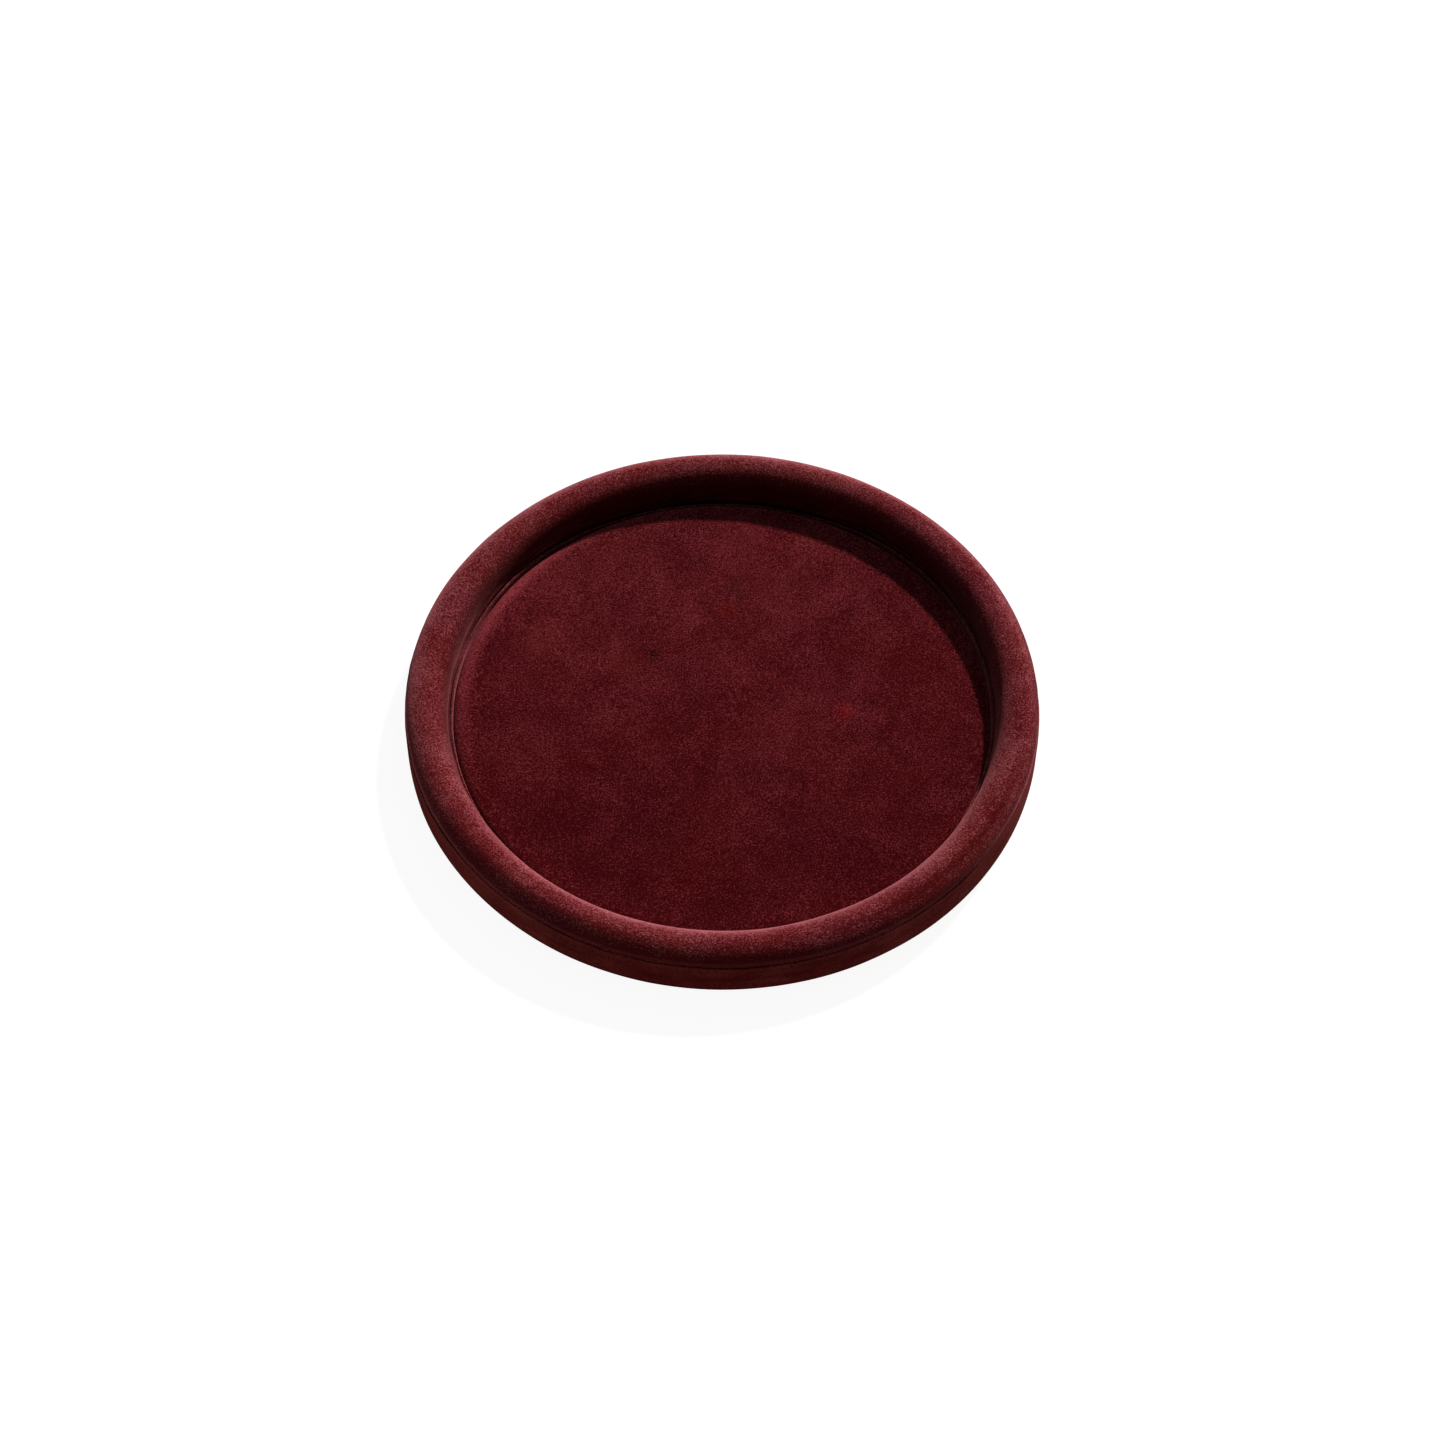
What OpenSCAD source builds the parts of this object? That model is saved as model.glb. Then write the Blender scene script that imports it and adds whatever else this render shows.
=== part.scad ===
// Round offering plate, wholly covered in suede: a flat padded floor inside a thick padded rim.
// It stands on its underside, with the origin at the middle of the underside and +Z up.

/* [Overall] */
// Outside diameter of the plate, over the suede
outer_d = 300; // [220:5:400]
// Height from the underside to the top of the rim
tray_h = 26; // [21:0.5:34]

/* [Rim] */
// Diameter of the rim's round roll, over the suede
roll_d = 20.6; // [17:0.2:25]
// How far the wooden core's top stays below the middle of the roll
core_drop = 1.2; // [0:0.2:3]
// Height of the outer seam above the middle of the roll
seam_rise = 2.3; // [1.5:0.1:4]
// Depth of the crease along the seam
crease_depth = 1.5; // [0.8:0.1:1.8]
// Width of the two edges that are sewn together and turned into the padding
seam_allowance = 4; // [3:0.5:5]
// Thickness of each edge in the seam, where the suede is pared down
pared_t = 0.6; // [0.4:0.1:0.8]
// Diameter of the sewing thread
thread_d = 0.5; // [0.3:0.1:0.8]

/* [Floor panel] */
// Thickness of the stiff card
card_t = 1.4; // [1:0.1:2]
// Thickness of the wadding between the card and the suede
wadding_t = 0.8; // [0.6:0.1:1.5]
// Radius of the wadding's soft upper edge
wadding_edge_r = 0.6; // [0.2:0.1:0.6]
// Gap between the floor panel and the strip round it
floor_gap = 0.4; // [0.2:0.1:0.8]

/* [Foot strip] */
// Thickness of the folded strip at the foot of the inner wall
strip_t = 1.3; // [1:0.1:1.8]
// How far the folded strip stands above the floor
strip_rise = 1.2; // [0.8:0.1:2]
// Radius of the fold along the strip's two upper edges
strip_fold_r = 0.4; // [0.2:0.1:0.5]

/* [Base] */
// Thickness of the wooden base board
board_t = 4; // [3:0.5:6]
// Thickness of the felt on the underside
felt_t = 1; // [0.8:0.1:2]
// How far the felt's edge stays inside the outside of the plate
felt_inset = 3.5; // [2.5:0.5:8]
// Width of the side band's edge that is turned under the board
hem_w = 11; // [8:0.5:16]

/* [Pins] */
// Number of pins that hold the core ring to the base board
pin_count = 12; // [6:1:24]
// Diameter of a pin's shank
pin_d = 1.6; // [1.2:0.2:2]
// Diameter of a pin's head
pin_head_d = 3.4; // [3:0.2:4]
// Thickness of a pin's head
pin_head_t = 0.8; // [0.6:0.1:1]
// Wood left in the core above a pin's point
pin_wood = 2; // [1.5:0.5:3]
// Clearance between a pin and its hole, all round
pin_fit = 0.02; // [0.01:0.01:0.05]

/* [Materials and fits] */
// Thickness of the suede
suede_t = 1.2; // [0.9:0.1:1.5]
// Glue line between pieces that are stuck together
glue = 0.1; // [0.05:0.05:0.2]

/* [Hidden] */
$fn = 180;

// The roll's circle, and the wall below its inner side
outer_r = outer_d / 2;
roll_r = roll_d / 2;
roll_mid_r = outer_r - roll_r;
roll_mid_z = tray_h - roll_r;
wall_r = roll_mid_r - roll_r;

// The layers from the underside up: felt, board, card, wadding and suede
board_top = felt_t + board_t;
card_top = board_top + card_t;
wadding_top = card_top + wadding_t;
floor_top = wadding_top + suede_t;

// The core ring, inside the suede and its glue
wrap_t = suede_t + glue;
core_r = outer_r - wrap_t;
core_wall_r = wall_r + wrap_t;
core_top = roll_mid_z - core_drop;

// The foot strip, and the floor panel inside it
strip_r = wall_r - glue;
strip_wall_r = strip_r - strip_t;
strip_top = floor_top + strip_rise;
floor_r = strip_wall_r - floor_gap;
card_r = floor_r - wrap_t;

// The hem under the board, its round corner, and the felt over it
hem_r = outer_r - hem_w;
hem_top = felt_t + suede_t;
rebate_top = hem_top + glue;
corner_r = suede_t + 2 * glue;
felt_r = outer_r - felt_inset;

// The seam, from the bottom of its crease to the cut edges in the padding
seam_z = roll_mid_z + seam_rise;
skin_r = roll_mid_r + sqrt(pow(roll_r, 2) - pow(seam_rise, 2));
crease_r = skin_r - crease_depth;
seam_in_r = crease_r - seam_allowance;
crease_slope = 0.6;

pin_r = (hem_r + core_r) / 2;
pin_l = core_top - pin_wood - rebate_top;

// A radius and a height past everything
far = outer_d;

// An outline in the plane of radius and height, turned round the plate's axis.
module ring() {
    rotate_extrude() children();
}

// A rectangle from one radius and height to another.
module band(r0, z0, r1, z1) {
    translate([r0, z0]) square([r1 - r0, z1 - z0]);
}

// A quarter of a disc, for an outer upper corner.
module corner(r) {
    intersection() {
        circle(r = r);
        square(r);
    }
}

// The rim as a whole, a distance in from the face of its suede: half of the roll's circle over straight sides.
module rim_section(inset) {
    translate([roll_mid_r, roll_mid_z]) intersection() {
        circle(r = roll_r - inset);
        band(-far, 0, far, far);
    }
    band(wall_r + inset, board_top, outer_r - inset, roll_mid_z);
}

// The skin of suede round the rim.
module skin_section() {
    difference() {
        rim_section(0);
        rim_section(suede_t);
    }
}

// The crease along the seam, cut in from outside.
module crease_section() {
    reach = far - crease_r;
    polygon([[crease_r, seam_z],
             [far, seam_z - crease_slope * reach],
             [far, seam_z + crease_slope * reach]]);
}

// The thread, lying along the upper of the two sewn edges.
module thread_section(clear = 0) {
    translate([crease_r - seam_allowance / 2, seam_z + pared_t + thread_d / 2])
        circle(d = thread_d + 2 * clear, $fn = 24);
}

// The pins, with their heads under the board's rebate.
module pins(clear = 0) {
    for (i = [0 : pin_count - 1]) rotate([0, 0, (i + 0.5) * 360 / pin_count]) translate([pin_r, 0, rebate_top]) {
        cylinder(d = pin_head_d + 2 * clear, h = pin_head_t + clear);
        cylinder(d = pin_d + 2 * clear, h = pin_l + clear);
    }
}

// A round board, cut back under its edge so that the hem lies flush.
module base_board() {
    color("#b08a5e") difference() {
        ring() difference() {
            band(0, felt_t, core_r, board_top);
            band(hem_r - glue, 0, far, rebate_top);
        }
        pins(pin_fit);
    }
}

// The ring that gives the rim its width and stiffness.
module rim_core() {
    color("#b08a5e") difference() {
        ring() band(core_wall_r, board_top, core_r, core_top);
        pins(pin_fit);
    }
}

module core_pins() {
    color("#8f9296") pins();
}

// Foam over the core, slit for the sewn edges and the thread.
module rim_padding() {
    color("#d9cfa8") ring() difference() {
        rim_section(wrap_t);
        band(0, 0, far, core_top);
        band(seam_in_r - glue, seam_z - pared_t - glue, far, seam_z + pared_t + glue);
        thread_section(glue);
    }
}

// Suede over the roll, from the seam, over the top and down the inner wall to the board.
module rim_cover() {
    color("#6a1c20") ring() difference() {
        union() {
            difference() {
                skin_section();
                band(roll_mid_r, 0, far, seam_z);
            }
            band(seam_in_r, seam_z, skin_r, seam_z + pared_t);
        }
        crease_section();
    }
}

// Suede round the outside, from the seam down and under the board.
module side_band() {
    color("#5c181b") ring() {
        difference() {
            union() {
                difference() {
                    skin_section();
                    band(0, 0, roll_mid_r, far);
                    band(0, seam_z, far, far);
                }
                band(seam_in_r, seam_z - pared_t, skin_r, seam_z);
            }
            crease_section();
        }
        band(outer_r - suede_t, felt_t + corner_r, outer_r, board_top);
        band(hem_r, felt_t, outer_r - corner_r, hem_top);
        translate([outer_r - corner_r, felt_t + corner_r]) intersection() {
            difference() {
                circle(r = corner_r);
                circle(r = corner_r - suede_t);
            }
            band(0, -corner_r, corner_r, 0);
        }
    }
}

module seam_thread() {
    color("#3a0d10") ring() thread_section();
}

// A strip of suede folded over along its top, standing between the inner wall and the floor panel.
module foot_strip() {
    fold_z = strip_top - strip_fold_r;
    color("#74242a") ring() {
        band(strip_wall_r, board_top, strip_r, fold_z);
        band(strip_wall_r + strip_fold_r, board_top, strip_r - strip_fold_r, strip_top);
        translate([strip_r - strip_fold_r, fold_z]) corner(strip_fold_r);
        translate([strip_wall_r + strip_fold_r, fold_z]) mirror([1, 0]) corner(strip_fold_r);
    }
}

module floor_card() {
    color("#9a948a") ring() band(0, board_top, card_r, card_top);
}

// A disc's outline with a round upper corner, for the floor panel's soft layers.
module soft_disc(r, z0, z1, edge_r) {
    band(0, z0, r, z1 - edge_r);
    band(0, z0, r - edge_r, z1);
    translate([r - edge_r, z1 - edge_r]) corner(edge_r);
}

module floor_wadding() {
    color("#e6e2d6") ring() soft_disc(card_r, card_top, wadding_top, wadding_edge_r);
}

// Suede over the wadding and down the panel's edge to the board.
module floor_cover() {
    color("#5e151b") ring() difference() {
        soft_disc(floor_r, board_top, floor_top, wadding_edge_r + wrap_t);
        soft_disc(card_r + glue, 0, wadding_top, wadding_edge_r + glue);
    }
}

module underside_felt() {
    color("#3b1013") ring() band(0, 0, felt_r, felt_t);
}

base_board();
rim_core();
core_pins();
rim_padding();
rim_cover();
side_band();
seam_thread();
foot_strip();
floor_card();
floor_wadding();
floor_cover();
underside_felt();
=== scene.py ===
from math import asin, atan2, cos, degrees, exp, hypot, pi, radians, sin, sqrt

import bmesh
import bpy
from mathutils import Matrix, Vector, noise


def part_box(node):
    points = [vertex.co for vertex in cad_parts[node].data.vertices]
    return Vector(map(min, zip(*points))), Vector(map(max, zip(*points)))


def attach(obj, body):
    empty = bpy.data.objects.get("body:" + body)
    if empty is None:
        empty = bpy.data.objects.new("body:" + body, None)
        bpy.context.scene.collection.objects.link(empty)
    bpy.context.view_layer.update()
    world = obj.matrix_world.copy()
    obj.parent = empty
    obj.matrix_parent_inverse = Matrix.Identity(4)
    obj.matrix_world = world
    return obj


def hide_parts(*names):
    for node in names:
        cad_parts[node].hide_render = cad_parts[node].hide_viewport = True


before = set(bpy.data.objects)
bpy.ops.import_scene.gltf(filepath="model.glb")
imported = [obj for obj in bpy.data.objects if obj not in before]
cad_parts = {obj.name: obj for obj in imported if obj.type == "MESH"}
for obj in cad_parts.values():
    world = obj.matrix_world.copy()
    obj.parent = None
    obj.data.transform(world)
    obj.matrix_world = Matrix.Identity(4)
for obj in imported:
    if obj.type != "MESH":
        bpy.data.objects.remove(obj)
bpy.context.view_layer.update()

MM = 0.001

# Sizes taken from the frame, in metres.
OUTER_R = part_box("side_band")[1].x
SEAM_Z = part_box("side_band")[1].z
HEM_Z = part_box("side_band")[0].z
RIM_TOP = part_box("rim_cover")[1].z
PADDING_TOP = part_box("rim_padding")[1].z
CORE_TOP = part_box("rim_core")[1].z
BOARD_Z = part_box("base_board")[1].z
STRIP_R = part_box("foot_strip")[1].x
STRIP_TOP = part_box("foot_strip")[1].z
FLOOR_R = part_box("floor_cover")[1].x
FLOOR_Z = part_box("floor_cover")[1].z
CARD_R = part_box("floor_card")[1].x
CARD_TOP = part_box("floor_card")[1].z
WADDING_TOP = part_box("floor_wadding")[1].z
FELT_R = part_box("underside_felt")[1].x
FELT_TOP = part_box("underside_felt")[1].z

# Sizes that the frame's boxes don't hold, the same as in the part's source.
GLUE = 0.1 * MM
SUEDE_T = 1.2 * MM
STRIP_T = 1.3 * MM
STRIP_PLY_T = 0.6 * MM
HEM_W = 11 * MM
ALLOWANCE_W = 4 * MM

WALL_R = STRIP_R + GLUE
ROLL_R = (OUTER_R - WALL_R) / 2
ROLL_MID_R = OUTER_R - ROLL_R
ROLL_MID_Z = RIM_TOP - ROLL_R

# Radii of the rounded lips that the suede makes where it turns into the seam, and the gap between the lips.
ROLL_LIP_R = 0.25 * MM
BAND_LIP_R = 0.18 * MM
SEAM_GAP = 0.03 * MM

# How far the seam strays up and down, how long its waves are, and how far from it the suede follows.
SEAM_STRAY = 0.45 * MM
SEAM_WAVE = 24 * MM
SEAM_REACH = 3 * MM

# The turn of the side's suede under the board: its radius, how far it hangs below the hem, and its spread.
HEM_TURN_R = 1.2 * MM
HEM_SAG = 0.9 * MM
HEM_SPREAD = 0.35 * MM

# Where the foam roll ends at the seam, as an angle round the roll, and how far it steps in below that.
FOAM_END = 34
FOAM_STEP = 2.6 * MM

FLOOR_EDGE_R = 1.9 * MM

# Azimuths, in degrees.
BACK = 90
FRONT = 270


# ---------------------------------------------------------------- shapes

def arc(mid_r, mid_z, radius, start, end, steps):
    """Points of a round stretch of an outline, between two angles in degrees; 0 is outwards and 90 is up."""
    turns = [radians(start + (end - start) * i / steps) for i in range(steps + 1)]
    return [(mid_r + radius * cos(t), mid_z + radius * sin(t)) for t in turns]


def line(start, end, steps):
    """Points of a straight stretch of an outline, without the first."""
    return [tuple(a + (b - a) * i / steps for a, b in zip(start, end)) for i in range(1, steps + 1)]


def turned(outline, steps, closed=False):
    """A bmesh made by turning an outline of (radius, height) points about the plate's axis."""
    bm = bmesh.new()
    verts = [bm.verts.new((r, 0, z)) for r, z in outline]
    ends = verts[1:] + verts[:1] if closed else verts[1:]
    edges = [bm.edges.new(pair) for pair in zip(verts, ends)]
    bmesh.ops.spin(bm, geom=verts + edges, axis=(0, 0, 1), cent=(0, 0, 0), angle=2 * pi, steps=steps,
                   use_merge=True)
    bmesh.ops.remove_doubles(bm, verts=bm.verts, dist=0.01 * MM)
    bmesh.ops.recalc_face_normals(bm, faces=bm.faces)
    outermost = max(bm.faces, key=lambda face: face.calc_center_median().xy.length)
    outwards = outermost.normal.xy.dot(outermost.calc_center_median().xy)
    # A level face gives about zero, and it is left as it is.
    if outwards < -1e-6:
        bmesh.ops.reverse_faces(bm, faces=bm.faces)
    return bm


def placed(name, data):
    """A new object in the scene for a mesh, a camera or a light."""
    ob = bpy.data.objects.new(name, data)
    bpy.context.scene.collection.objects.link(ob)
    return ob


def piece(name, bm, material, stands_for):
    """Makes a piece of the plate from a bmesh. It rides with the plate and stands for one of its nodes."""
    mesh = bpy.data.meshes.new(name)
    bm.to_mesh(mesh)
    bm.free()
    mesh.materials.append(material)
    mesh.shade_smooth()
    ob = placed(name, mesh)
    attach(ob, "root")
    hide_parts(stands_for)
    return ob


def thicken(ob, thickness):
    """Gives a skin its thickness, inwards from its outer face."""
    shell = ob.modifiers.new("thickness", "SOLIDIFY")
    shell.thickness = thickness
    shell.offset = -1


def keep_shape(ob, modifier):
    """Puts a modifier's result into the mesh and takes the modifier off."""
    shaped = ob.evaluated_get(bpy.context.evaluated_depsgraph_get())
    mesh = bpy.data.meshes.new_from_object(shaped)
    ob.modifiers.remove(modifier)
    old = ob.data
    name = old.name
    ob.data = mesh
    bpy.data.meshes.remove(old)
    mesh.name = name
    mesh.shade_smooth()


def refine(ob):
    """Smooths a mesh and doubles its points each way."""
    finer = ob.modifiers.new("finer", "SUBSURF")
    finer.levels = 1
    finer.render_levels = 1
    keep_shape(ob, finer)


def air_filled(ob, held, most):
    """Fills out a skin, held at some points, by pressure from inside. No point moves further than most."""
    steps = 20
    scene = bpy.context.scene
    before = [vert.co.copy() for vert in ob.data.vertices]
    pinned = ob.vertex_groups.new(name="held")
    pinned.add(held, 1.0, "REPLACE")
    cloth = ob.modifiers.new("cloth", "CLOTH")
    cloth.settings.vertex_group_mass = "held"
    cloth.settings.quality = 6
    cloth.settings.tension_stiffness = 30
    cloth.settings.compression_stiffness = 30
    cloth.settings.bending_stiffness = 1
    cloth.settings.shrink_min = -0.006
    cloth.settings.use_pressure = True
    cloth.settings.uniform_pressure_force = 4
    cloth.settings.effector_weights.gravity = 0
    cloth.point_cache.frame_start = 1
    cloth.point_cache.frame_end = steps
    for step in range(1, steps + 1):
        scene.frame_set(step)
    shaped = ob.evaluated_get(bpy.context.evaluated_depsgraph_get())
    after = [vert.co.copy() for vert in shaped.data.vertices]
    ob.modifiers.remove(cloth)
    ob.vertex_groups.clear()
    scene.frame_set(1)
    for vert, old, new in zip(ob.data.vertices, before, after):
        way = new - old
        if way.length > most:
            way.length = most
        vert.co = old + way
    ob.data.update()


def footprint(point):
    """A place without its height."""
    return Vector((point.x, point.y, 0))


def drawn_out(point, times):
    """A place with its height made larger, so that lumps worked out from it are long and low."""
    return Vector((point.x, point.y, point.z * times))


def azimuth(point):
    return degrees(atan2(point.y, point.x)) % 360


def off_floor(vert):
    """Straight off the floor, or off its rounded edge."""
    return vert.normal.copy()


def off_side(vert):
    """Straight out from the plate's axis."""
    return footprint(vert.co).normalized()


def off_roll(vert):
    """Straight off the roll, or off the wall below it, so that a lip moves as a whole."""
    away = off_side(vert) * (vert.co.xy.length - ROLL_MID_R)
    away.z = max(vert.co.z - ROLL_MID_Z, 0)
    return away.normalized()


def swell(ob, rise, way):
    """Moves each point of a mesh the way that way() gives, by what rise() gives for its place."""
    moves = [way(vert) * rise(vert.co) for vert in ob.data.vertices]
    for vert, move in zip(ob.data.vertices, moves):
        vert.co += move
    ob.data.update()


def lumps(point, size, seed):
    """Smooth random rises and dips from about -1 to 1, about size apart. Each seed gives another pattern."""
    return noise.noise(point / size + Vector((seed, 2.7 * seed, 0)))


def ramp(value, low, high):
    """0 below low, 1 above high, and a smooth rise between. It falls instead when low is the greater."""
    share = min(max((value - low) / (high - low), 0), 1)
    return share * share * (3 - 2 * share)


def bell(value, middle, width, power=2):
    """1 at the middle, fading to 0 on both sides. A higher power makes its top flatter."""
    return exp(-((value - middle) / width) ** power)


def fold(angle, across, start, end, first, last, width, rise):
    """How much of a fold or streak there is at a place. It runs from one azimuth to another, where it
    fades out, and from a first to a last height or radius."""
    along = ((angle - start) % 360) / (end - start)
    if along >= 1:
        return 0.0
    return rise * sin(pi * along) ** 0.7 * bell(across, first + (last - first) * along, width)


def stray(ob):
    """Lets the outer seam stray up and down, with the suede next to it, as a seam laid by hand does."""
    for vert in ob.data.vertices:
        if vert.co.xy.length > ROLL_MID_R:
            follows = bell(vert.co.z, SEAM_Z, SEAM_REACH)
            vert.co.z += SEAM_STRAY * lumps(footprint(vert.co), SEAM_WAVE, 16) * follows
    ob.data.update()


def paint(ob, name, value):
    """Gives each point of a mesh a value by its place, which its material reads."""
    shade = ob.data.attributes.new(name, "FLOAT", "POINT")
    for vert, item in zip(ob.data.vertices, shade.data):
        item.value = value(vert.co)


# ---------------------------------------------------------------- materials

# Settings that the materials give their nodes.
MULTIPLY = {"operation": "MULTIPLY"}
MULTIPLY_ADD = {"operation": "MULTIPLY_ADD"}
SUBTRACT = {"operation": "SUBTRACT"}
POWER = {"operation": "POWER"}
PING_PONG = {"operation": "PINGPONG"}
CLAMPED_ADD = {"operation": "ADD", "use_clamp": True}
DISTANCE = {"operation": "DISTANCE"}
SOFT_STEP = {"interpolation_type": "SMOOTHSTEP"}
FOUR_D = {"noise_dimensions": "4D"}
SLANTING = {"bands_direction": "DIAGONAL"}
COLOURS = {"data_type": "RGBA"}


def linear(hex_colour):
    """A colour written as sRGB hex, in linear values with alpha."""
    parts = [int(hex_colour[i:i + 2], 16) / 255 for i in (1, 3, 5)]
    return [c / 12.92 if c <= 0.04045 else ((c + 0.055) / 1.055) ** 2.4 for c in parts] + [1.0]


def per_mm(size):
    """The texture scale that makes a pattern's features about this many millimetres wide."""
    return 1 / (size * MM)


def new_material(name):
    mat = bpy.data.materials.new(name)
    mat.use_nodes = True
    return mat, mat.node_tree, mat.node_tree.nodes["Principled BSDF"]


def set_inputs(tree, node, inputs):
    """Sets or links a node's inputs. They are named, with _ for a space, or in0, in1 for their number."""
    for key, value in inputs.items():
        socket = node.inputs[int(key[2:])] if key[2:].isdigit() else node.inputs[key.replace("_", " ")]
        if isinstance(value, bpy.types.NodeSocket):
            tree.links.new(value, socket)
        else:
            socket.default_value = value


def add(tree, kind, out, settings=(), **inputs):
    """Adds a node with its settings and links, and gives back the output that out names or numbers."""
    node = tree.nodes.new(kind)
    for key, value in dict(settings).items():
        setattr(node, key, value)
    set_inputs(tree, node, inputs)
    return node.outputs[out]


def suede(name, deep, warm, pale, level, painted_sheen, speckle, mottle, sheen, spots=()):
    """Suede: the flesh side of a split hide, dyed and sanded to a short nap. It is dull, and its colour
    is a deep dye with pale fibre tips over it. The tips show as a fine speckle and as broad shades where the
    nap was brushed to and fro. A painted sheen makes the colour paler where the surface turns away from the
    eye. The nap values painted on each piece add painted light and shade, and in places pressed nap."""
    mat, tree, bsdf = new_material(name)
    place = add(tree, "ShaderNodeTexCoord", "Object")
    brushed = add(tree, "ShaderNodeTexNoise", "Fac", Vector=place, Scale=per_mm(20), Detail=3.0,
                  Roughness=0.5, Distortion=0.6)
    dyed = add(tree, "ShaderNodeTexNoise", "Fac", FOUR_D, Vector=place, W=3.0, Scale=per_mm(44),
               Detail=3.0, Roughness=0.6)
    tufts = add(tree, "ShaderNodeTexNoise", "Fac", Vector=place, Scale=per_mm(2.0), Detail=2.0,
                Roughness=0.6)
    # Real fibres are about a tenth of a millimetre wide. These are as coarse as they must be to show.
    fibres = add(tree, "ShaderNodeTexNoise", "Fac", Vector=place, Scale=per_mm(0.75), Detail=2.0,
                 Roughness=0.7)
    nap_and_painted_light = add(tree, "ShaderNodeAttribute", "Fac", {"attribute_name": "nap"})
    # Painted sheen: the colour turns paler where the surface is seen edge on.
    turned_away = add(tree, "ShaderNodeLayerWeight", "Facing", Blend=0.5)
    steep = add(tree, "ShaderNodeMath", 0, POWER, in0=turned_away, in1=1.5)
    tips = add(tree, "ShaderNodeMath", 0, MULTIPLY_ADD, in0=steep, in1=painted_sheen, in2=nap_and_painted_light)
    for pattern, amount in ((fibres, speckle), (tufts, 0.12 * speckle), (brushed, mottle)):
        centred = add(tree, "ShaderNodeMath", 0, SUBTRACT, in0=pattern, in1=0.5)
        tips = add(tree, "ShaderNodeMath", 0, MULTIPLY_ADD, in0=centred, in1=amount, in2=tips)
    tips = add(tree, "ShaderNodeMath", 0, CLAMPED_ADD, in0=tips, in1=level)
    # Below zero the nap value darkens the colour: mostly painted shade, in streaks and patches pressed nap.
    pressed = add(tree, "ShaderNodeMapRange", 0, Value=nap_and_painted_light, From_Min=0.0, From_Max=-1.0, To_Max=0.9)
    patchy = add(tree, "ShaderNodeMapRange", 0, Value=dyed, From_Min=0.35, From_Max=0.65)
    colour = add(tree, "ShaderNodeMix", 2, COLOURS, Factor=patchy, in6=linear(deep), in7=linear(warm))
    for x, y, size, spot_colour, strength in spots:
        spot = (x * MM, y * MM, FLOOR_Z)
        away = add(tree, "ShaderNodeVectorMath", "Value", DISTANCE, in0=place, in1=spot)
        ragged = add(tree, "ShaderNodeMath", 0, MULTIPLY_ADD, in0=tufts, in1=size * 0.8 * MM, in2=away)
        mask = add(tree, "ShaderNodeMapRange", 0, SOFT_STEP, Value=ragged, From_Min=size * 1.5 * MM,
                   From_Max=size * 0.5 * MM, To_Max=strength)
        colour = add(tree, "ShaderNodeMix", 2, COLOURS, Factor=mask, in6=colour, in7=linear(spot_colour))
    colour = add(tree, "ShaderNodeMix", 2, COLOURS, Factor=tips, in6=colour, in7=linear(pale))
    colour = add(tree, "ShaderNodeMix", 2, COLOURS, Factor=pressed, in6=colour, in7=linear("#000000"))
    nap = add(tree, "ShaderNodeMath", 0, MULTIPLY_ADD, in0=tufts, in1=0.5, in2=fibres)
    bump = add(tree, "ShaderNodeBump", "Normal", Height=nap, Strength=0.5, Distance=0.4 * MM)
    set_inputs(tree, bsdf, {"Base Color": colour, "Roughness": 0.95, "Specular IOR Level": 0.0,
                            "Sheen Weight": sheen, "Sheen Roughness": 0.5,
                            "Sheen Tint": linear("#ffa8ab"), "Normal": bump})
    return mat


def plywood(name, pale, deep, figured, edge):
    """Birch plywood, sanded: thin rotary-cut plies, with a long faint grain. Its edges show the plies."""
    mat, tree, bsdf = new_material(name)
    place = add(tree, "ShaderNodeTexCoord", "Object")
    along = add(tree, "ShaderNodeMapping", "Vector", Vector=place, Scale=(0.08, 1.0, 1.0))
    grain = add(tree, "ShaderNodeTexNoise", "Fac", Vector=along, Scale=per_mm(1.4), Detail=4.0,
                Roughness=0.65)
    figure = add(tree, "ShaderNodeTexNoise", "Fac", Vector=along, Scale=per_mm(14), Detail=2.0,
                 Distortion=1.2)
    figure = add(tree, "ShaderNodeMath", 0, MULTIPLY, in0=figure, in1=0.5)
    height = add(tree, "ShaderNodeSeparateXYZ", "Z", Vector=place)
    # Plies are 1.2 mm thick, and every second one shows its end grain.
    ply = add(tree, "ShaderNodeMath", 0, PING_PONG, in0=height, in1=1.2 * MM)
    end_grain = add(tree, "ShaderNodeMapRange", 0, Value=ply, From_Min=0.5 * MM, From_Max=0.7 * MM,
                    To_Max=0.45)
    colour = add(tree, "ShaderNodeMix", 2, COLOURS, Factor=grain, in6=linear(deep), in7=linear(pale))
    colour = add(tree, "ShaderNodeMix", 2, COLOURS, Factor=figure, in6=colour, in7=linear(figured))
    colour = add(tree, "ShaderNodeMix", 2, COLOURS, Factor=end_grain, in6=colour, in7=linear(edge))
    rough = add(tree, "ShaderNodeMapRange", 0, Value=grain, To_Min=0.62, To_Max=0.8)
    bump = add(tree, "ShaderNodeBump", "Normal", Height=grain, Strength=0.3, Distance=0.1 * MM)
    set_inputs(tree, bsdf, {"Base Color": colour, "Roughness": rough, "Normal": bump})
    return mat


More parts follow.
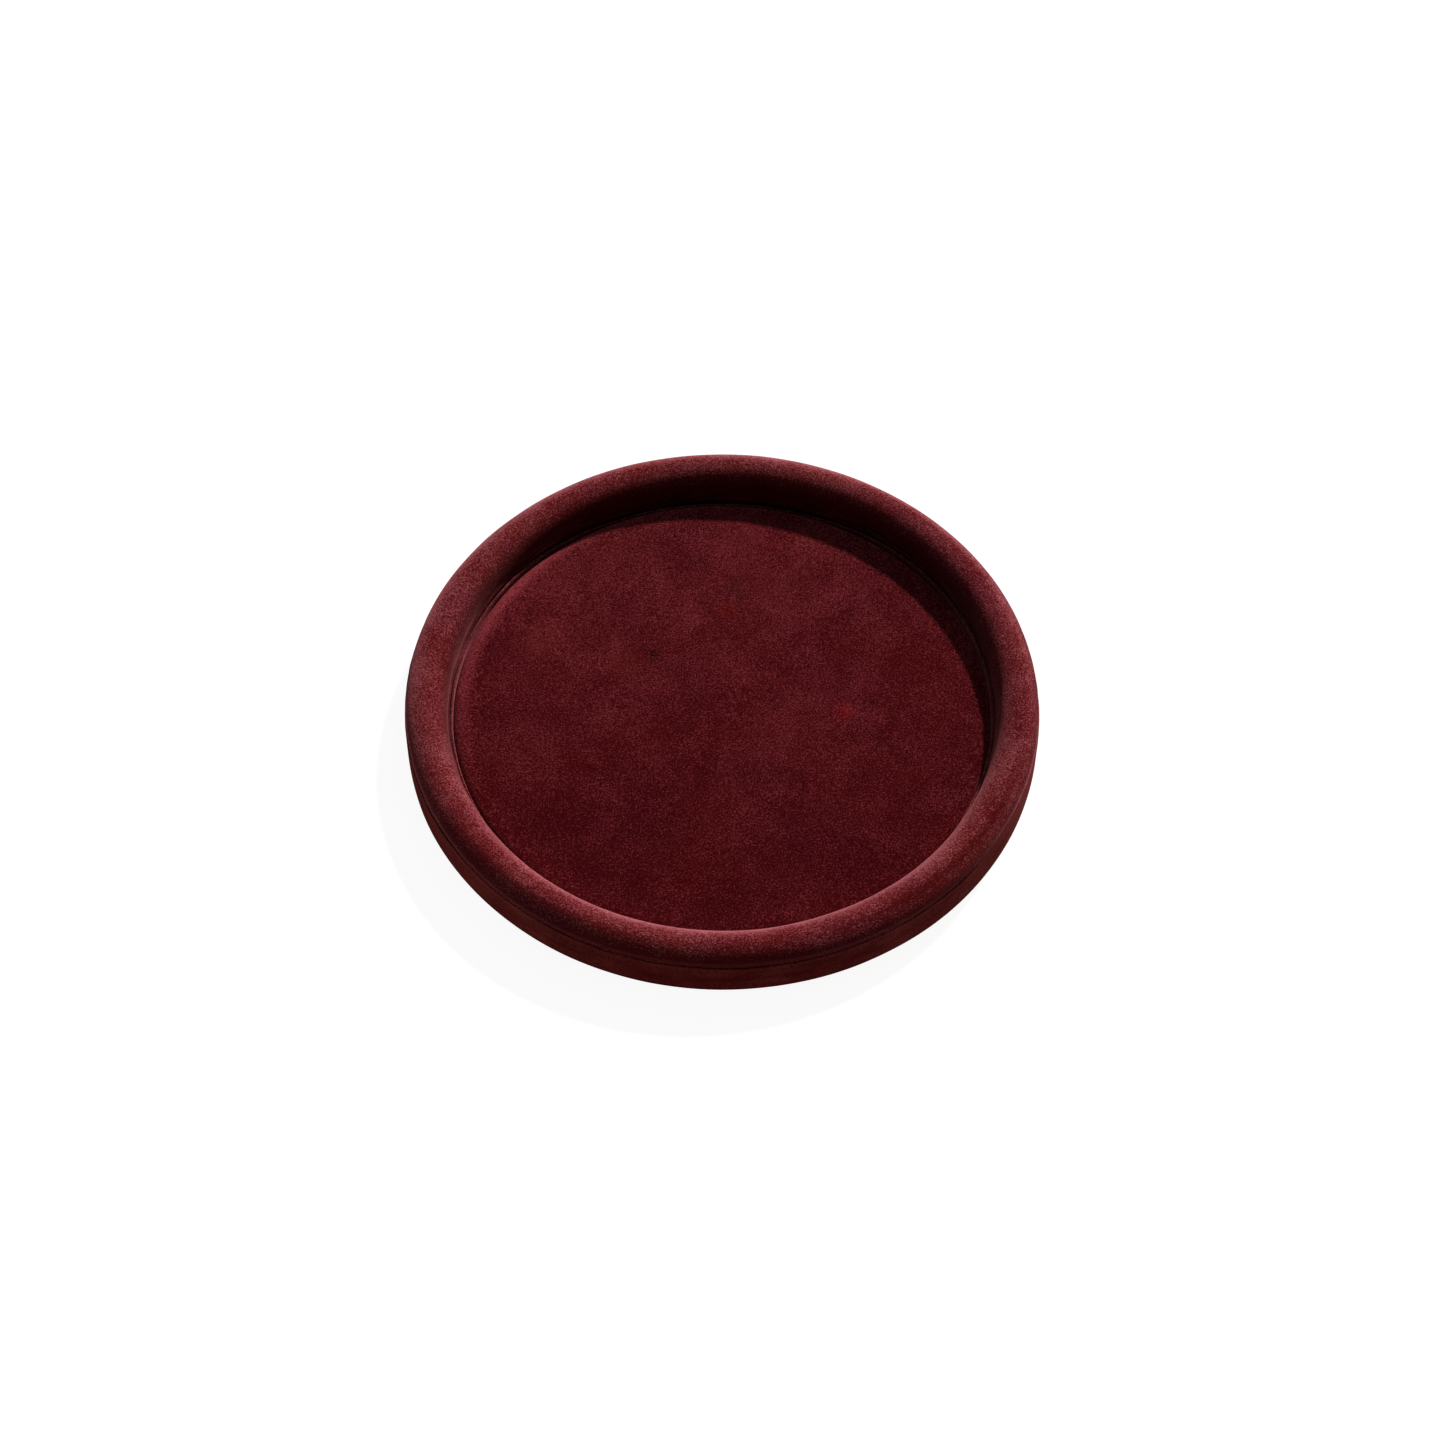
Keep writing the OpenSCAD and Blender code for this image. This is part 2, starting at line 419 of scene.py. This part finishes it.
def drawn_steel():
    """Bright steel panel pins, cut from drawn wire: a grey metal with faint lines along it."""
    mat, tree, bsdf = new_material("bright_steel_drawn")
    place = add(tree, "ShaderNodeTexCoord", "Object")
    along = add(tree, "ShaderNodeMapping", "Vector", Vector=place, Scale=(1.0, 1.0, 0.05))
    lines = add(tree, "ShaderNodeTexNoise", "Fac", Vector=along, Scale=per_mm(0.3), Detail=2.0)
    colour = add(tree, "ShaderNodeMix", 2, COLOURS, Factor=lines, in6=linear("#a9aaad"),
                 in7=linear("#c4c5c6"))
    rough = add(tree, "ShaderNodeMapRange", 0, Value=lines, To_Min=0.25, To_Max=0.42)
    set_inputs(tree, bsdf, {"Base Color": colour, "Roughness": rough, "Metallic": 1.0})
    return mat


def foam():
    """Polyurethane foam, cut from a block: cream, dull, full of open cells and yellowed in places."""
    mat, tree, bsdf = new_material("cream_foam_open_cell")
    place = add(tree, "ShaderNodeTexCoord", "Object")
    cells = add(tree, "ShaderNodeTexVoronoi", "Distance", Vector=place, Scale=per_mm(1.0))
    aged = add(tree, "ShaderNodeTexNoise", "Fac", Vector=place, Scale=per_mm(40), Detail=2.0)
    colour = add(tree, "ShaderNodeMix", 2, COLOURS, Factor=aged, in6=linear("#e2d7b4"),
                 in7=linear("#d6c48f"))
    walls = add(tree, "ShaderNodeMath", 0, MULTIPLY, in0=cells, in1=0.5)
    colour = add(tree, "ShaderNodeMix", 2, COLOURS, Factor=walls, in6=linear("#a8966a"), in7=colour)
    bump = add(tree, "ShaderNodeBump", "Normal", Height=cells, Strength=0.5, Distance=0.3 * MM)
    set_inputs(tree, bsdf, {"Base Color": colour, "Roughness": 0.95, "Normal": bump})
    return mat


def matted(name, low, high, fleck, fibre_size, blotch_size, sheen):
    """Fibres pressed or laid together without a weave, as in felt, wadding and grey board: dull, with
    short curled fibres lying every way, soft blotches where they lie thicker, and a few flecks of another
    shade."""
    mat, tree, bsdf = new_material(name)
    place = add(tree, "ShaderNodeTexCoord", "Object")
    fibres = add(tree, "ShaderNodeTexNoise", "Fac", Vector=place, Scale=per_mm(fibre_size), Detail=3.0,
                 Roughness=0.7, Distortion=2.5)
    blotches = add(tree, "ShaderNodeTexNoise", "Fac", Vector=place, Scale=per_mm(blotch_size), Detail=3.0)
    blotches = add(tree, "ShaderNodeMath", 0, SUBTRACT, in0=blotches, in1=0.5)
    flecks = add(tree, "ShaderNodeTexVoronoi", "Distance", Vector=place, Scale=per_mm(5), Randomness=1.0)
    thick = add(tree, "ShaderNodeMath", 0, MULTIPLY_ADD, in0=blotches, in1=0.8, in2=fibres)
    spread = add(tree, "ShaderNodeMapRange", 0, Value=thick, From_Min=0.3, From_Max=0.7)
    colour = add(tree, "ShaderNodeMix", 2, COLOURS, Factor=spread, in6=linear(low), in7=linear(high))
    flecked = add(tree, "ShaderNodeMapRange", 0, Value=flecks, From_Min=0.16, From_Max=0.08, To_Max=0.6)
    colour = add(tree, "ShaderNodeMix", 2, COLOURS, Factor=flecked, in6=colour, in7=linear(fleck))
    bump = add(tree, "ShaderNodeBump", "Normal", Height=fibres, Strength=0.6, Distance=0.3 * MM)
    set_inputs(tree, bsdf, {"Base Color": colour, "Roughness": 0.95, "Specular IOR Level": 0.15,
                            "Sheen Weight": sheen, "Sheen Roughness": 0.5, "Normal": bump})
    return mat


def sewing_thread():
    """Spun polyester thread, three plies twisted together: dull, with painted shade in slanting bands
    between the plies.
    """
    mat, tree, bsdf = new_material("burgundy_thread_spun")
    place = add(tree, "ShaderNodeTexCoord", "Object")
    twist = add(tree, "ShaderNodeTexWave", "Fac", SLANTING, Vector=place, Scale=per_mm(6.0), Distortion=0.5)
    # Painted shade in slanting bands between the plies.
    colour = add(tree, "ShaderNodeMix", 2, COLOURS, Factor=twist, in6=linear("#3a0a10"),
                 in7=linear("#6e1c24"))
    bump = add(tree, "ShaderNodeBump", "Normal", Height=twist, Strength=0.5, Distance=0.1 * MM)
    set_inputs(tree, bsdf, {"Base Color": colour, "Roughness": 0.6, "Sheen Weight": 0.3, "Normal": bump})
    return mat


# Marks on the floor's suede: x and y in mm, size in mm, colour, and strength. The last is painted shade in
# the dent.
FLOOR_SPOTS = [
    (58, -2, 7, "#7a0c12", 0.6),
    (1, 59, 7, "#70100f", 0.4),
    (6, 72, 9, "#43191e", 0.5),
    (-90, 40, 16, "#702c22", 0.3),
    (-47, 26, 11, "#702c22", 0.3),
    # Painted shade in the dent.
    (-33.5, 30.3, 4.2, "#1c0406", 0.95),
]

RIM_SUEDE = suede("rim_suede_nap", "#66111d", "#6b1612", "#b5727a", level=0.07, painted_sheen=0.9, speckle=3.2,
                  mottle=0.8, sheen=0.35)
BAND_SUEDE = suede("band_suede_nap", "#470a0a", "#53100c", "#8c4740", level=0.02, painted_sheen=0.15, speckle=1.4,
                   mottle=0.6, sheen=0.1)
FLOOR_SUEDE = suede("floor_suede_nap", "#4c0814", "#530d10", "#b65a62", level=0.02, painted_sheen=0.6, speckle=2.2,
                    mottle=0.45, sheen=0.15, spots=FLOOR_SPOTS)
PLYWOOD = plywood("birch_plywood_sanded", "#dcc196", "#c4a071", "#b98f5e", "#96714a")
# The board's dark colour is painted shade for the gap round the floor panel, so that no pale wood shows
# there.
SHADE_DARK_PLYWOOD = plywood("birch_plywood_painted_shade", "#34120f", "#220a09", "#1c0807", "#2a100c")
STEEL = drawn_steel()
FOAM = foam()
THREAD = sewing_thread()
GREY_BOARD = matted("grey_board_pulp", "#8a857a", "#a09a8d", "#6b655b", fibre_size=0.9, blotch_size=18,
                    sheen=0.0)
WADDING = matted("white_wadding_polyester", "#d9d7d0", "#f0eee8", "#c8c5bd", fibre_size=1.4, blotch_size=12,
                 sheen=0.3)
FELT = matted("burgundy_felt_pressed", "#2c0a0f", "#451318", "#5e2a2d", fibre_size=0.8, blotch_size=14,
              sheen=0.25)


# ---------------------------------------------------------------- pieces

def lip(radius, up):
    """The rounded lip where an outline turns into the seam, above it or below it (up is 1 or -1): the
    radius and height of its middle, and its angle on the roll."""
    mid_z = SEAM_Z + (SEAM_GAP / 2 + radius) * up
    rise = mid_z - ROLL_MID_Z
    reach = ROLL_R - radius
    return ROLL_MID_R + sqrt(reach * reach - rise * rise), mid_z, degrees(asin(rise / reach))


# Folds of the inner wall's suede: first and last azimuth, then height at each, width and rise in mm.
WALL_FOLDS = [
    (-42, 28, 10.2, 11.4, 0.8, 0.7),
    (-20, 40, 13.0, 14.6, 1.0, 0.45),
    (22, 78, 11.6, 13.2, 0.8, 0.5),
    (30, 66, 14.6, 15.4, 0.7, 0.35),
    (50, 132, 9.8, 9.4, 1.3, 0.7),
    (84, 124, 12.6, 13.6, 0.9, 0.4),
    (120, 172, 12.0, 10.4, 1.0, 0.6),
    (150, 214, 10.6, 12.4, 0.9, 0.7),
    (206, 262, 11.0, 12.6, 1.1, 0.5),
    (248, 330, 10.6, 10.0, 1.1, 0.5),
]
# Height below which the inner wall's suede is loose enough to fold, in mm.
LOOSE_Z = 16.5

# Streaks of pressed nap on the roll: first and last azimuth, then radius at each and width in mm, and
# strength.
ROLL_STREAKS = [
    (-72, -12, 143.0, 144.4, 2.0, 0.24),
    (-150, -100, 144.6, 143.4, 1.8, 0.18),
    (20, 66, 142.4, 143.8, 1.7, 0.16),
]


def rim_rise(point):
    """How the rim's suede stands off an even roll: lumps, puckers at the seam and folds on the wall."""
    height = point.z / MM
    soft = 0.22 * lumps(point, 46 * MM, 1) + 0.10 * lumps(point, 17 * MM, 2)
    if point.xy.length > ROLL_MID_R:
        puckers = bell(height, SEAM_Z / MM, 2.2) * 0.22 * lumps(footprint(point), 6 * MM, 3)
        return (soft + puckers) * MM
    if height >= LOOSE_Z:
        return soft * MM
    folds = sum(fold(azimuth(point), height, *shape) for shape in WALL_FOLDS)
    wrinkles = 0.12 * lumps(drawn_out(point, 4), 12 * MM, 4)
    return (soft + folds + wrinkles) * ramp(height, 6.5, 9.5) * MM


def rim_nap_and_painted_light(point):
    """Painted light and shade on the rim, carried as its nap: painted shade on the inner wall, in the groove
    at the back and on the outer roll down to the seam, where it eases; light and dark streaks painted on the
    wall for its wrinkles; painted highlights along the inner edge in front and along the crown at the back;
    and streaks of pressed nap on the outer roll."""
    angle, height = azimuth(point), point.z / MM
    # Painted highlight along the crown at the back.
    crown = 0.08 * bell(angle, BACK, 55) * ramp(height, 22, 25)
    if point.xy.length < ROLL_MID_R:
        # Painted shade in the groove at the foot of the wall, at the back.
        foot = ramp(height, 8.2, 7.6) * ramp(point.y / MM, 40, 90)
        # Painted highlight along the inner edge in front.
        near = bell(angle, FRONT, 58, 4)
        # Light and dark streaks painted on the wall, for its wrinkles.
        wrinkle_streaks_painted = 0.5 * ramp(height, 16, 13) * lumps(drawn_out(point, 7), 16 * MM, 14)
        # Painted shade on the inner side, except in front.
        dark = (1 - near) * 0.45 * ramp(height, 25.0, 17) + 0.4 * foot
        return crown + near * 0.30 * ramp(height, 25.5, 22) + wrinkle_streaks_painted - dark
    streaks = sum(fold(angle, point.xy.length / MM, *shape) for shape in ROLL_STREAKS)
    # Painted shade on the outer roll from the crown down, lighter again just above the seam.
    smooth = 0.50 * ramp(height, 24.8, 19.5)
    lighter_painted = 0.30 * ramp(height, 19.4, 18.0)
    return crown - smooth + lighter_painted - streaks


def make_rim():
    """Suede over the padded roll: up the inner wall, over the top and into the outer seam."""
    mid_r, mid_z, turn = lip(ROLL_LIP_R, 1)
    # The skin starts a little too small, and the padding's pressure fills it out.
    slack = 0.15 * MM
    outline = [(WALL_R, BOARD_Z)]
    outline += line((WALL_R, BOARD_Z), (WALL_R, ROLL_MID_Z), 11)
    outline += arc(ROLL_MID_R, ROLL_MID_Z, ROLL_R - slack, 176, turn, 24)
    outline += arc(mid_r - slack, mid_z, ROLL_LIP_R, turn, -90, 6)[1:]
    outline += line(outline[-1], (mid_r - ALLOWANCE_W, outline[-1][1]), 2)
    ob = piece("rim_suede", turned(outline, 320), RIM_SUEDE, "rim_cover")
    glued_z = BOARD_Z + 0.5 * MM
    sewn_z = SEAM_Z + 2 * MM
    held = [vert.index for vert in ob.data.vertices
            if vert.co.z < glued_z or (vert.co.z < sewn_z and vert.co.xy.length > ROLL_MID_R)]
    air_filled(ob, held, 0.6 * MM)
    refine(ob)
    swell(ob, rim_rise, off_roll)
    paint(ob, "nap", rim_nap_and_painted_light)
    stray(ob)
    thicken(ob, SUEDE_T)


def make_foam():
    """The foam roll under the rim's suede. It sits on the core ring and stays clear of the seam."""
    radius = PADDING_TOP - ROLL_MID_Z
    inner = [(ROLL_MID_R - radius, CORE_TOP)]
    inner += line(inner[0], (ROLL_MID_R - radius, ROLL_MID_Z), 2)
    crown = arc(ROLL_MID_R, ROLL_MID_Z, radius, 180, FOAM_END, 30)[1:]
    foot_r = crown[-1][0] - FOAM_STEP
    foot = [(foot_r, crown[-1][1]), (foot_r, CORE_TOP)]
    ob = piece("rim_foam", turned(inner + crown + foot, 240, closed=True), FOAM, "rim_padding")


def band_rise(point):
    """How the side's suede stands off: puckers under the seam, and long shallow creases."""
    stretched = drawn_out(point, 9)
    uneven = 0.16 * lumps(point, 40 * MM, 5) + 0.13 * lumps(stretched, 30 * MM, 6)
    puckers = 0.16 * lumps(footprint(point), 6 * MM, 3) + 0.22 * lumps(stretched, 14 * MM, 7)
    return (uneven + bell(point.z / MM, 17.2, 1.8) * puckers) * MM


def band_nap_and_painted_light(point):
    """Painted light and shade on the side, carried as its nap: painted light at the front's left and right,
    a painted highlight on the lip under the seam, a darker line half way up, painted shade along the bottom
    edge, and patchy nap all round."""
    angle, height = azimuth(point), point.z / MM
    # Painted light on the front's left and right.
    lighter_painted = 0.20 * bell(angle, 222, 30) + 0.24 * bell(angle, 322, 30)
    patchy = 0.12 * lumps(drawn_out(point, 3), 16 * MM, 13)
    # A painted highlight on the lip under the seam, and a darker line half way up.
    seam = 0.18 * bell(height, 16.8, 1.2) - 0.10 * bell(height, 8.8, 1.2)
    # Painted shade along the bottom edge.
    return lighter_painted + patchy + seam - 0.35 * ramp(height, 2.6, 0.4)


def make_band():
    """Suede round the outside, from the seam down and under the board."""
    mid_r, mid_z, turn = lip(BAND_LIP_R, -1)
    turn_r = OUTER_R + HEM_SPREAD
    turn_z = HEM_Z - HEM_SAG + HEM_TURN_R
    outline = [(mid_r - ALLOWANCE_W, mid_z + BAND_LIP_R)]
    outline += line(outline[0], (mid_r, mid_z + BAND_LIP_R), 3)[:-1]
    outline += arc(mid_r, mid_z, BAND_LIP_R, 90, turn, 6)
    outline += line(outline[-1], (OUTER_R, ROLL_MID_Z), 2)
    outline += line(outline[-1], (turn_r, turn_z), 16)
    outline += arc(turn_r - HEM_TURN_R, turn_z, HEM_TURN_R, 0, -90, 6)[1:]
    outline += line(outline[-1], (FELT_R + GLUE, HEM_Z), 2)
    outline += line(outline[-1], (OUTER_R - HEM_W, HEM_Z), 3)
    ob = piece("side_suede", turned(outline, 560), BAND_SUEDE, "side_band")
    swell(ob, band_rise, off_side)
    paint(ob, "nap", band_nap_and_painted_light)
    stray(ob)
    thicken(ob, SUEDE_T)


def strip_height(angle):
    """Height of the folded strip's top above its foot, in mm. It lies low at the back."""
    return 4.9 - 3.6 * bell(angle, 92, 38, 4)


def make_strip():
    """The strip of suede folded double and tucked in between the rim and the floor panel."""
    fold_r = STRIP_T / 2
    top = STRIP_TOP - fold_r
    outline = [(STRIP_R, BOARD_Z)]
    outline += line(outline[0], (STRIP_R, top), 5)
    outline += arc(STRIP_R - fold_r, top, fold_r, 0, 180, 6)[1:]
    outline += line(outline[-1], (STRIP_R - STRIP_T, BOARD_Z), 5)
    ob = piece("foot_fold", turned(outline, 480), RIM_SUEDE, "foot_strip")
    for vert in ob.data.vertices:
        up = (vert.co.z - BOARD_Z) / (STRIP_TOP - BOARD_Z)
        place = footprint(vert.co)
        height = strip_height(azimuth(place)) + 0.45 * lumps(place, 22 * MM, 8)
        lean = up * (0.25 * lumps(place, 13 * MM, 9) - 0.05) * MM
        vert.co.z = BOARD_Z + up * height * MM
        vert.co.xy *= 1 + lean / place.length
    ob.data.update()
    thicken(ob, STRIP_PLY_T)


def floor_rise(point):
    """How the floor's suede stands off a flat panel: a puffed edge, most at the left, and a small dent."""
    from_edge = (FLOOR_R - point.xy.length) / MM
    puff = 0.25 + 0.65 * bell(azimuth(point), 155, 38)
    rise = puff * bell(from_edge, 4.5, 3.2)
    rise += 0.12 * lumps(point, 34 * MM, 11) + 0.05 * lumps(point, 12 * MM, 12)
    from_dent = hypot(point.x / MM + 33.5, point.y / MM - 30.3)
    rise -= 0.7 * bell(from_dent, 0, 1.7)
    return rise * MM


def floor_painted_light(point):
    """Painted light on the floor, carried as its nap: lighter towards the back and darker towards the front,
    and a painted highlight along the puffed edge at the left.
    """
    from_edge = (FLOOR_R - point.xy.length) / MM
    # Painted highlight along the puffed edge at the left.
    left = 0.38 * bell(azimuth(point), 152, 34) * bell(from_edge, 3.6, 3.6)
    # Painted light and shade: lighter towards the back, darker towards the front.
    return 0.0006 * point.y / MM + left


def make_floor():
    """Suede over the thin wadding of the floor panel, turned down at its edge and drawn in at the back."""
    edge = FLOOR_R - FLOOR_EDGE_R
    outline = [(0.0, FLOOR_Z)]
    outline += line(outline[0], (edge - 8 * MM, FLOOR_Z), 76)
    outline += line(outline[-1], (edge, FLOOR_Z), 10)
    outline += arc(edge, FLOOR_Z - FLOOR_EDGE_R, FLOOR_EDGE_R, 90, 0, 7)[1:]
    outline += line(outline[-1], (FLOOR_R, BOARD_Z), 2)
    ob = piece("floor_suede", turned(outline, 360), FLOOR_SUEDE, "floor_cover")
    for vert in ob.data.vertices:
        radius = vert.co.xy.length
        from_edge = (FLOOR_R - radius) / MM
        drawn_in = 1.3 * MM * bell(azimuth(vert.co), 92, 48, 4) * bell(from_edge, 0, 6)
        vert.co.xy *= 1 - drawn_in / max(radius, MM)
    swell(ob, floor_rise, off_floor)
    paint(ob, "nap", floor_painted_light)
    thicken(ob, SUEDE_T)


def make_wadding():
    """The thin pad of wadding under the floor's suede, with a soft uneven face and a rounded edge."""
    half = (WADDING_TOP - CARD_TOP) / 2
    edge = CARD_R - half
    outline = [(0.0, CARD_TOP)]
    outline += line(outline[0], (edge, CARD_TOP), 24)
    outline += arc(edge, CARD_TOP + half, half, -90, 90, 6)[1:]
    outline += line(outline[-1], (0.0, WADDING_TOP), 40)
    ob = piece("floor_pad", turned(outline, 180), WADDING, "floor_wadding")
    for vert in ob.data.vertices:
        if vert.co.z > CARD_TOP + half and vert.co.xy.length < edge:
            vert.co.z -= 0.2 * MM * (1 + lumps(vert.co, 9 * MM, 21)) / 2
    ob.data.update()


def make_felt():
    """The felt glued on under the board, cut round to fit inside the hem of the side's suede."""
    edge_r = 0.4 * MM
    outline = [(0.0, 0.0)]
    outline += line(outline[0], (FELT_R - edge_r, 0.0), 60)
    outline += arc(FELT_R - edge_r, edge_r, edge_r, -90, 0, 4)[1:]
    outline += line(outline[-1], (FELT_R, FELT_TOP - 0.1 * MM), 1)
    ob = piece("felt_sheet", turned(outline, 240), FELT, "underside_felt")
    for vert in ob.data.vertices:
        inside = ramp((FELT_R - vert.co.xy.length) / MM, 1.0, 4.0)
        vert.co.z += inside * 0.12 * MM * (1 + lumps(vert.co, 15 * MM, 22)) / 2
    ob.data.update()
    thicken(ob, FELT_TOP - 0.25 * MM)


def finish_node(node, material):
    """Gives a node of the frame its material, and leaves its shape as it is."""
    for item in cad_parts[node].material_slots:
        item.link = "OBJECT"
        item.material = material


make_rim()
make_foam()
make_band()
make_strip()
make_floor()
make_wadding()
make_felt()
# The base board's dark colour is painted shade in the gap round the floor panel.
finish_node("base_board", SHADE_DARK_PLYWOOD)
finish_node("rim_core", PLYWOOD)
finish_node("core_pins", STEEL)
finish_node("seam_thread", THREAD)
finish_node("floor_card", GREY_BOARD)


# ---------------------------------------------------------------- floor, camera and light

def make_stage():
    """A white studio floor. It glows a little, so that the plate's shadow on it stays light."""
    bm = bmesh.new()
    bmesh.ops.create_grid(bm, x_segments=1, y_segments=1, size=20)
    mesh = bpy.data.meshes.new("studio_floor")
    bm.to_mesh(mesh)
    bm.free()
    mat, tree, bsdf = new_material("white_studio_paint")
    set_inputs(tree, bsdf, {"Base Color": linear("#585858"), "Roughness": 0.9,
                            "Emission Color": linear("#ffffff"), "Emission Strength": 0.94})
    mesh.materials.append(mat)
    ob = placed("studio_floor", mesh)
    ob.location.z = -0.1 * MM


def make_camera():
    """The camera stands in front of the plate and looks down on it."""
    distance = 1.2458
    elevation = radians(54.06)
    roll = radians(0.585)
    aim = Vector((0.0002, -0.0030, 0))
    data = bpy.data.cameras.new("camera")
    data.sensor_width = 36
    data.lens = 64.8
    ob = placed("camera", data)
    stand = Vector((0, -distance * cos(elevation), distance * sin(elevation)))
    look = (stand - aim).to_track_quat("Z", "Y").to_matrix().to_4x4()
    ob.matrix_world = Matrix.Translation(stand) @ look @ Matrix.Rotation(roll, 4, "Z")
    bpy.context.scene.camera = ob


def make_sun(name, strength, spread, turn, colour=(1.0, 1.0, 1.0)):
    """A light from far away, with its spread in degrees and its turn as Euler angles."""
    data = bpy.data.lights.new(name, "SUN")
    data.energy = strength
    data.angle = radians(spread)
    data.color = colour
    placed(name, data).rotation_euler = turn


def make_room():
    """The room is dim, so that the shadows stay deep, but the wall behind the plate looks white."""
    world = bpy.data.worlds.new("studio")
    world.use_nodes = True
    tree = world.node_tree
    seen = add(tree, "ShaderNodeLightPath", "Is Camera Ray")
    strength = add(tree, "ShaderNodeMath", 0, MULTIPLY_ADD, in0=seen, in1=0.93, in2=0.07)
    set_inputs(tree, tree.nodes["Background"], {"Color": linear("#ffffff"), "Strength": strength})
    bpy.context.scene.world = world


def make_lights():
    """A small strong light from behind on the right, a soft weak one from above, and a dim room."""
    way, height = radians(60), radians(36.3)
    towards = Vector((cos(height) * cos(way), cos(height) * sin(way), sin(height)))
    make_sun("key_light", 3.6, 3.5, towards.to_track_quat("Z", "Y").to_euler(), (1.0, 0.97, 0.94))
    make_sun("overhead_light", 0.45, 50, (radians(-20), 0, 0))
    make_room()


make_stage()
make_camera()
make_lights()
bpy.context.scene.view_settings.view_transform = "Standard"
bpy.context.scene.view_settings.gamma = 0.8
